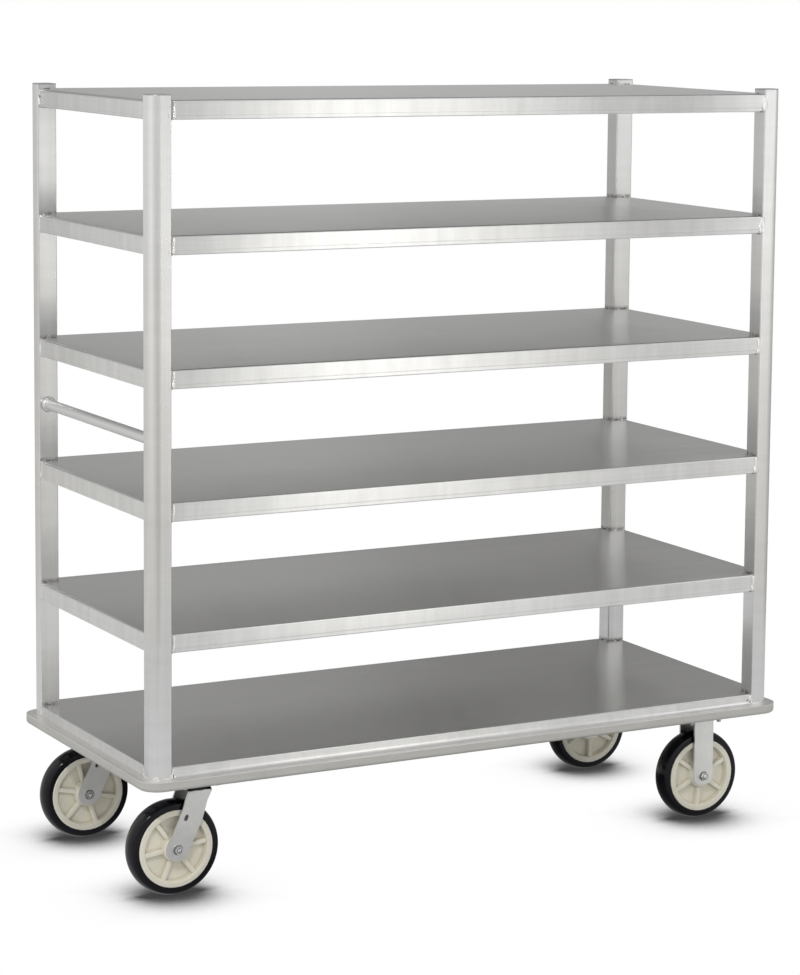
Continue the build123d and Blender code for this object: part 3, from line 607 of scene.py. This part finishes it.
# handle collars to the tube
for sy in (-1, 1):
    y = sy * (INNER_Y - 0.0034)
    path, radii = [], []
    for i in range(120):
        a = math.tau * i / 120
        path.append(Vector((-0.7414 + 0.0126 * math.cos(a), y, 0.9710 + 0.0126 * math.sin(a))))
        radii.append(0.0014 * (0.8 + 0.3 * abs(math.sin(15 * a)) + 0.08 * math.sin(4 * a + sy)))
    bright.append(tube(path, radii, closed=True))
    path, radii = [], []
    for i in range(120):
        a = math.tau * i / 120
        path.append(Vector((-0.7414 + 0.0164 * math.cos(a), sy * (INNER_Y - 0.0006), 0.9710 + 0.0164 * math.sin(a))))
        radii.append(0.0010 * (0.8 + 0.3 * abs(math.sin(18 * a)) + 0.1 * math.sin(5 * a - sy)))
    toes.append(tube(path, radii, closed=True))
gather("weld_beads", bright, weld_metal, "frame")
gather("weld_toes", toes, weld_toe, "frame")
gather("weld_smoke", smoke_shade, weld_soot_shade, "frame")


# wheels: moulded cores with six ribs a side, and smooth crowned tyres
WHEELS = {"swivel_front": (-0.6807, -0.2429, 7.0, "wheel_swivel_front"), "swivel_rear": (-0.6807, 0.2429, 47.0, "wheel_swivel_rear"),
          "rigid_front": (0.6302, -0.2429, 25.0, "wheel_rigid_front"), "rigid_rear": (0.6302, 0.2429, 31.0, "wheel_rigid_rear")}
AXLE_Z = 0.1016
CORE = [(8.6, 26.5), (9.3, 27.1), (14.0, 27.1), (20.0, 27.1), (25.2, 27.1), (26.0, 26.95), (26.7, 26.5), (27.2, 25.8), (27.5, 24.9), (27.8, 22.6),
        (28.2, 19.6), (28.6, 16.6), (29.0, 13.8), (29.5, 12.4), (30.2, 11.5), (31.2, 11.0), (32.5, 10.8), (35.5, 10.8), (40.0, 10.8), (45.0, 10.8),
        (50.0, 10.8), (55.0, 10.8), (60.0, 10.8), (64.5, 10.8), (66.6, 10.9), (67.7, 11.3), (68.4, 12.1), (68.8, 13.4), (69.3, 16.4), (69.8, 19.6),
        (70.3, 22.4), (70.7, 23.5), (71.4, 24.2), (72.3, 24.4), (76.0, 24.4), (80.0, 24.4), (81.4, 24.35), (82.2, 24.0), (82.7, 23.4), (82.9, 22.6)]
RIB = [(0.0, 21.0), (3.3, 21.0), (3.9, 20.8), (4.3, 20.3), (4.55, 19.3), (4.8, 16.6), (5.05, 13.8), (5.5, 11.8), (6.2, 11.0), (7.4, 10.8)]


def wheel_core(place):
    cx, cy, phase, body = WHEELS[place]
    columns = []                     # (sector, distance from the rib's middle or None, turn)
    for k in range(6):
        for sign in (-1, 1):
            order = RIB if sign > 0 else RIB[:0:-1]
            if sign < 0:
                columns += [(k, None, -30.0), (k, None, -0.66), (k, None, -0.33)]
                columns += [(k, -d, h) for d, h in order]
            else:
                columns += [(k, d, h) for d, h in order]
                columns += [(k, None, 0.33), (k, None, 0.66)]
    verts, faces = [], []
    count = len(columns)
    for side in (-1, 1):
        for r, h in CORE:
            r_turn = max(r, 31.0)
            limit = math.degrees(math.asin(RIB[-1][0] / r_turn))
            for k, d, value in columns:
                if d is None:
                    turn = -30.0 if value == -30.0 else math.copysign(limit + (30.0 - limit) * abs(value), value)
                    high = h
                else:
                    turn = math.copysign(math.degrees(math.asin(abs(d) / r_turn)), d)
                    high = max(h, value)
                a = math.radians(phase + 60.0 * k + turn)
                verts.append((cx + r * math.cos(a) / 1000, cy + side * high / 1000, AXLE_Z + r * math.sin(a) / 1000))
    rows = len(CORE)
    for side in (0, 1):
        at = side * rows * count
        for i in range(rows - 1):
            for j in range(count):
                k = (j + 1) % count
                faces.append([at + i * count + j, at + i * count + k, at + (i + 1) * count + k, at + (i + 1) * count + j])
    for i in (0, rows - 1):
        for j in range(count):
            k = (j + 1) % count
            faces.append([i * count + j, i * count + k, (rows + i) * count + k, (rows + i) * count + j])
    return build("moulded_core_" + place, verts, faces, core_plastic, body, ["wheel_core_" + place], sharp=60.0)


def tyre_section():
    half = [(22.3, 82.9), (22.5, 83.3), (22.5, 85.5), (22.5, 88.0), (22.5, 89.8), (22.5, 90.99)]
    for k in range(1, 13):
        a = math.radians(66.55 * k / 12)
        half.append((15.0 + 7.5 * math.cos(a), 90.99 + 7.5 * math.sin(a)))
    for k in range(1, 13):
        a = math.radians(23.45 * (1 - k / 12))
        half.append((45.19 * math.sin(a), 56.41 + 45.19 * math.cos(a)))
    return half + [(-y, r) for y, r in half[-2::-1]]


def tyre(place, turns=160):
    cx, cy, phase, body = WHEELS[place]
    section = tyre_section()
    n = len(section)
    verts, faces = [], []
    for i in range(turns):
        a = math.tau * i / turns
        for y, r in section:
            verts.append((cx + r * math.cos(a) / 1000, cy + y / 1000, AXLE_Z + r * math.sin(a) / 1000))
    for i in range(turns):
        k = (i + 1) % turns
        for j in range(n):
            q = (j + 1) % n
            faces.append([i * n + j, i * n + q, k * n + q, k * n + j])
    return build("bonded_tyre_" + place, verts, faces, tyre_rubber, body, ["tyre_" + place], sharp=50.0)


for place in WHEELS:
    wheel_core(place)
    tyre(place)



def lathe(section, at, out, turns=36):
    """Spin (radius, height) pairs about an axis along Y through a point; out is -1 or 1."""
    verts, faces = [], []
    for r, h in section:
        for k in range(turns):
            a = math.tau * k / turns
            verts.append((at[0] + r * math.cos(a), at[1] + out * h, at[2] + r * math.sin(a)))
    for i in range(len(section) - 1):
        for k in range(turns):
            q = (k + 1) % turns
            faces.append([i * turns + k, i * turns + q, (i + 1) * turns + q, (i + 1) * turns + k])
    faces.append(list(range(turns)))
    faces.append([(len(section) - 1) * turns + k for k in range(turns)])
    return verts, faces


def lozenge(at, length, width, thick, lean, turns=28):
    verts, faces = [], []
    long_way = Vector((math.cos(lean), 0, math.sin(lean)))
    wide_way = Vector((-math.sin(lean), 0, math.cos(lean)))
    for y in (-thick / 2, thick / 2):
        for k in range(turns):
            a = math.tau * (k + 0.5) / turns
            run = (length - width) / 2 * (1 if math.cos(a) > 0 else -1)
            verts.append(Vector(at) + long_way * (run + width / 2 * math.cos(a)) + wide_way * (width / 2 * math.sin(a)) + Vector((0, y, 0)))
    for k in range(turns):
        q = (k + 1) % turns
        faces.append([k, q, turns + q, turns + k])
    faces += [list(range(turns))[::-1], list(range(turns, 2 * turns))]
    return verts, faces


for place, (wx, wy, phase, body) in WHEELS.items():
    swivel = place.startswith("swivel")
    carrier = place if swivel else "frame"
    domes, rings = [], []
    for out in (-1, 1):
        washer = wy + out * (0.0322 + 0.0016)
        head = wy + out * (0.0322 + (0.0082 if out < 0 else 0.0086))
        r = 0.0046 if swivel else 0.0062
        domes.append(lathe([(r, -0.0006), (r, 0.0002), (r * 0.93, 0.0009), (r * 0.75, 0.0016), (r * 0.45, 0.0021), (r * 0.12, 0.0023)], (wx, head, AXLE_Z), out))
        # dark rings round the washer and the head: painted shade in the gaps
        loop = [Vector((wx + 0.0099 * math.cos(math.tau * k / 48), washer, AXLE_Z + 0.0099 * math.sin(math.tau * k / 48))) for k in range(48)]
        rings.append(tube(loop, [0.0009] * 48, closed=True, sides=8))
        loop = [Vector((wx + (r + 0.0005) * math.cos(math.tau * k / 40), head, AXLE_Z + (r + 0.0005) * math.sin(math.tau * k / 40))) for k in range(40)]
        rings.append(tube(loop, [0.00045] * 40, closed=True, sides=8))
    gather("axle_ends_" + place, domes, bolt_metal, carrier, sharp=50.0)
    gather("axle_gap_shade_" + place, rings, weld_soot_shade, carrier)
    if swivel:
        # dark plates inside the fork slots: painted shade in the holes
        shade_plate = [lozenge((wx + 0.0505 - 0.0313, wy + out * 0.0288, 0.1680), 0.0139, 0.0079, 0.0010, math.radians(64.8)) for out in (-1, 1)]
        gather("slot_shade_plates_" + place, shade_plate, weld_soot_shade, carrier, sharp=40.0)

# threaded ends that stand below the nuts of the rigid casters
tails = []
for sy in (-1, 1):
    for ex in (-1, 1):
        for ey in (-1, 1):
            at = (0.6302 + ex * 0.0372, sy * 0.2429 + ey * 0.0354)
            verts, faces = [], []
            rows = []
            for k in range(13):
                rows.append((0.0044 if k % 2 else 0.0049, 0.2313 - 0.00042 * k))
            rows.append((0.0036, 0.2313 - 0.00042 * 13.6))
            turns = 18
            for r, z in rows:
                for k in range(turns):
                    a = math.tau * k / turns
                    verts.append((at[0] + r * math.cos(a), at[1] + r * math.sin(a), z))
            for i in range(len(rows) - 1):
                for k in range(turns):
                    q = (k + 1) % turns
                    faces.append([i * turns + k, i * turns + q, (i + 1) * turns + q, (i + 1) * turns + k])
            faces.append(list(range(turns)))
            faces.append([(len(rows) - 1) * turns + k for k in range(turns)])
            tails.append((verts, faces))
gather("bolt_tails", tails, bolt_metal, "frame", sharp=60.0)

# pressed and cut edges of the small steel parts are broken a little
for name, obj in nodes.items():
    width = 0.0
    if "fork" in name or name.startswith("swivel_plate"):
        width = 0.0009
    elif name.startswith("axle") or name == "caster_bolts":
        width = 0.0008
    elif name in ("handle_collars",):
        width = 0.0006
    if width:
        join = obj.modifiers.new("join", "WELD")
        join.merge_threshold = 0.00002
        edge = obj.modifiers.new("broken_edges", "BEVEL")
        edge.width = width
        edge.segments = 2
        edge.limit_method = "ANGLE"
        edge.angle_limit = math.radians(38)
        edge.use_clamp_overlap = True
        edge.harden_normals = True


# ------------------------------------------------------------ studio ----
def softbox(name, at, toward, size_x, size_y, power, colour=(1, 1, 1)):
    data = bpy.data.lights.new(name, "AREA")
    data.shape = "RECTANGLE"
    data.size, data.size_y = size_x, size_y
    data.energy = power
    data.color = colour
    lamp = bpy.data.objects.new(name, data)
    scene.collection.objects.link(lamp)
    lamp.location = at
    lamp.rotation_mode = "QUATERNION"
    lamp.rotation_quaternion = (Vector(toward) - Vector(at)).to_track_quat("-Z", "Y")
    lamp.visible_camera = False
    return lamp


softbox("top", (0.9, -0.1, 3.3), (0.3, -0.1, 0.0), 1.7, 1.2, 12.0).visible_glossy = False
softbox("glint", (-2.2, -2.4, 2.6), (-0.6, -0.3, 0.1), 0.15, 0.15, 26.0)

# soft light from the rest of the studio: dim overhead, white where the camera sees past the floor
world = bpy.data.worlds.new("studio")
scene.world = world
world.use_nodes = True
net = Net(world.node_tree)
out = net.add("ShaderNodeOutputWorld")
seen = net.add("ShaderNodeBackground")
seen.inputs["Color"].default_value = rgb(1, 1, 1)
lit = net.add("ShaderNodeBackground")
lit.inputs["Strength"].default_value = 0.42
mix = net.add("ShaderNodeMixShader")
path = net.add("ShaderNodeLightPath")
net.link(path.outputs["Is Camera Ray"], mix.inputs[0])
net.link(lit.outputs[0], mix.inputs[1])
net.link(seen.outputs[0], mix.inputs[2])
net.link(mix.outputs[0], out.inputs["Surface"])

# a round wall of soft light 3 m out, which only the reflections see
RING = 3.0
bm = bmesh.new()
rings = []
for z, r in ((-0.2, 3), (0.4, 3), (1.0, 3), (1.6, 3), (2.2, 3), (2.8, 3), (3.4, 3), (4.0, 2.75), (4.5, 2.2), (4.8, 1.5)):
    rings.append([bm.verts.new((r * math.cos(math.tau * i / 72), r * math.sin(math.tau * i / 72), z)) for i in range(72)])
for lo, hi in zip(rings, rings[1:]):
    for i in range(72):
        bm.faces.new((lo[i], hi[i], hi[(i + 1) % 72], lo[(i + 1) % 72]))
me = bpy.data.meshes.new("studio_wall")
bm.to_mesh(me); bm.free()
wall = bpy.data.objects.new("studio_wall", me)
scene.collection.objects.link(wall)
wall.visible_camera = False
wall.visible_shadow = False

# (direction in degrees from +X, light at floor level, at 1 m, at 2 m)
WALL = [(-180, 0.60, 0.62, 0.64), (-135, 0.64, 0.64, 0.66), (-98, 0.66, 0.70, 0.75), (-88, 0.57, 0.47, 0.49),
        (-83, 0.60, 0.43, 0.40), (-79, 0.80, 0.84, 0.46), (-60, 0.71, 0.72, 0.50),
        (-49.6, 0.68, 0.65, 0.12), (-46.8, 0.62, 0.92, 1.85), (-38, 0.54, 0.70, 1.70), (-20, 0.52, 0.56, 0.52),
        (20, 0.20, 0.36, 0.50), (45, 0.12, 0.235, 0.54), (57, 0.10, 0.165, 0.63), (68, 0.10, 0.235, 0.73), (90, 0.18, 0.36, 0.50), (110, 0.24, 0.38, 0.30), (122, 0.62, 0.56, 0.50),
        (130, 0.74, 0.82, 0.93), (155, 0.66, 0.75, 0.83), (180, 0.60, 0.62, 0.64)]
# and overhead, brightest in front
UPPER = [(-180, 0.45), (-120, 0.55), (-85, 0.78), (-55, 0.88), (-25, 0.62), (10, 0.45), (90, 0.42), (180, 0.45)]
wm = bpy.data.materials.new("studio_wall_light")
wm.use_nodes = True
net = Net(wm.node_tree)
out = net.add("ShaderNodeOutputMaterial")
tc = net.add("ShaderNodeTexCoord")
sep = net.add("ShaderNodeSeparateXYZ")
net.link(tc.outputs["Object"], sep.inputs[0])
turn = net.math("ARCTAN2", sep.outputs["Y"], sep.outputs["X"])
place = net.remap(turn, -math.pi, math.pi, 0.0, 1.0)


def ramp(net, factor, stops, how="EASE"):
    r = net.add("ShaderNodeValToRGB")
    r.color_ramp.interpolation = how
    e = r.color_ramp.elements
    while len(e) > 1:
        e.remove(e[-1])
    e[0].position, e[0].color = stops[0][0], rgb(*[stops[0][1]] * 3)
    for p, v in stops[1:]:
        e.new(p).color = rgb(v, v, v)
    net.link(factor, r.inputs[0])
    return r.outputs["Color"]


low, middle, high = (ramp(net, place, [((row[0] + 180) / 360, row[k]) for row in WALL]) for k in (1, 2, 3))
wall_light = net.blend(net.remap(sep.outputs["Z"], 0.0, 1.0, 0.0, 1.0), low, middle)
wall_light = net.blend(net.remap(sep.outputs["Z"], 1.0, 2.0, 0.0, 1.0), wall_light, high)
wall_light = net.blend(net.remap(sep.outputs["Z"], 2.4, 3.2, 0.0, 1.0, smooth=True), wall_light,
                       ramp(net, place, [((a + 180) / 360, v) for a, v in UPPER]))

def lobe(centre, width, power=2.0):
    off = net.math("ABSOLUTE", net.math("MULTIPLY", net.math("SUBTRACT", turn, math.radians(centre)), 1.0 / math.radians(width)))
    return net.math("EXPONENT", net.math("MULTIPLY", net.math("POWER", off, power), -1.0))


# the key: a tall bright panel seen in the long front faces
offz = net.math("MULTIPLY", net.math("SUBTRACT", sep.outputs["Z"], 1.1), 1.0 / 0.74)
down = net.math("EXPONENT", net.math("MULTIPLY", net.math("MULTIPLY", offz, offz), -1.0))
key = net.math("ADD", net.math("MULTIPLY", lobe(-71.6, 5.6, 6.0), 0.94), net.math("MULTIPLY", lobe(-67.0, 9.0, 4.0), net.remap(sep.outputs["Z"], 0.1, 1.2, 0.02, 0.97)))
key = net.math("MULTIPLY", key, down)
# a narrow panel and a dark gap beside it, seen in the rounded corner of the near post
beam = net.math("MULTIPLY", net.math("ADD", lobe(-171.0, 18.0), lobe(189.0, 18.0)), net.remap(sep.outputs["Z"], 0.2, 1.0, 0.0, 0.35))
gap = net.math("MULTIPLY", lobe(-112.0, 15.0), net.remap(sep.outputs["Z"], 1.6, 0.4, 0.02, 0.24))
key = net.math("ADD", key, net.math("SUBTRACT", beam, gap))
glow = net.add("ShaderNodeEmission")
warm = net.blend(1.0, key, rgb(1.0, 0.99, 0.94), mode="MULTIPLY")
# the floor's cream bounce in the lower half
wall_light = net.blend(net.remap(sep.outputs["Z"], 1.7, 0.5, 0.0, 1.0), wall_light,
                       net.blend(1.0, wall_light, rgb(1.0, 0.988, 0.94), mode="MULTIPLY"))
net.link(net.blend(1.0, wall_light, warm, mode="ADD"), glow.inputs["Color"])
net.link(glow.outputs[0], out.inputs["Surface"])
me.materials.append(wm)

# pale floor, lit from within like a light table, with painted contact shadows where something stands on it and painted
# shade under the cart in what reflections and bounce light see
bm = bmesh.new()
ring = [bm.verts.new((60 * math.cos(a), 60 * math.sin(a), -0.0004)) for a in [math.tau * i / 96 for i in range(96)]]
bm.faces.new(ring)
me = bpy.data.meshes.new("floor")
bm.to_mesh(me); bm.free()
floor = bpy.data.objects.new("floor", me)
scene.collection.objects.link(floor)
fm = bpy.data.materials.new("floor_white")
fm.use_nodes = True
net = Net(fm.node_tree)
out = net.add("ShaderNodeOutputMaterial")
# ambient occlusion ramp: painted contact shadows for camera rays
ao = net.add("ShaderNodeAmbientOcclusion", samples=16)
ao.inputs["Distance"].default_value = 0.2
near = ramp(net, ao.outputs["AO"], [(0.0, 0.045), (0.56, 0.065), (0.66, 0.125), (0.72, 0.29), (0.785, 0.575), (0.87, 0.85), (0.95, 1.0)], "LINEAR")
path = net.add("ShaderNodeLightPath")
glow_cam = net.add("ShaderNodeEmission")
net.link(near, glow_cam.inputs["Strength"])
glow = net.add("ShaderNodeEmission")
tcf = net.add("ShaderNodeTexCoord")
sf = net.add("ShaderNodeSeparateXYZ")
net.link(tcf.outputs["Object"], sf.inputs[0])
# painted shade under the cart, for all but camera rays
in_x = net.remap(net.math("ABSOLUTE", sf.outputs["X"]), 0.38, 1.0, 0.0, 1.0, smooth=True)
in_y = net.remap(net.math("ABSOLUTE", sf.outputs["Y"]), 0.1, 0.9, 0.0, 1.0, smooth=True)
net.link(net.remap(net.math("MAXIMUM", in_x, in_y), 0.0, 1.0, 0.07, 0.66), glow.inputs["Strength"])
mix = net.add("ShaderNodeMixShader")
net.link(path.outputs["Is Camera Ray"], mix.inputs[0])
net.link(glow.outputs[0], mix.inputs[1])
net.link(glow_cam.outputs[0], mix.inputs[2])
net.link(mix.outputs[0], out.inputs["Surface"])
me.materials.append(fm)
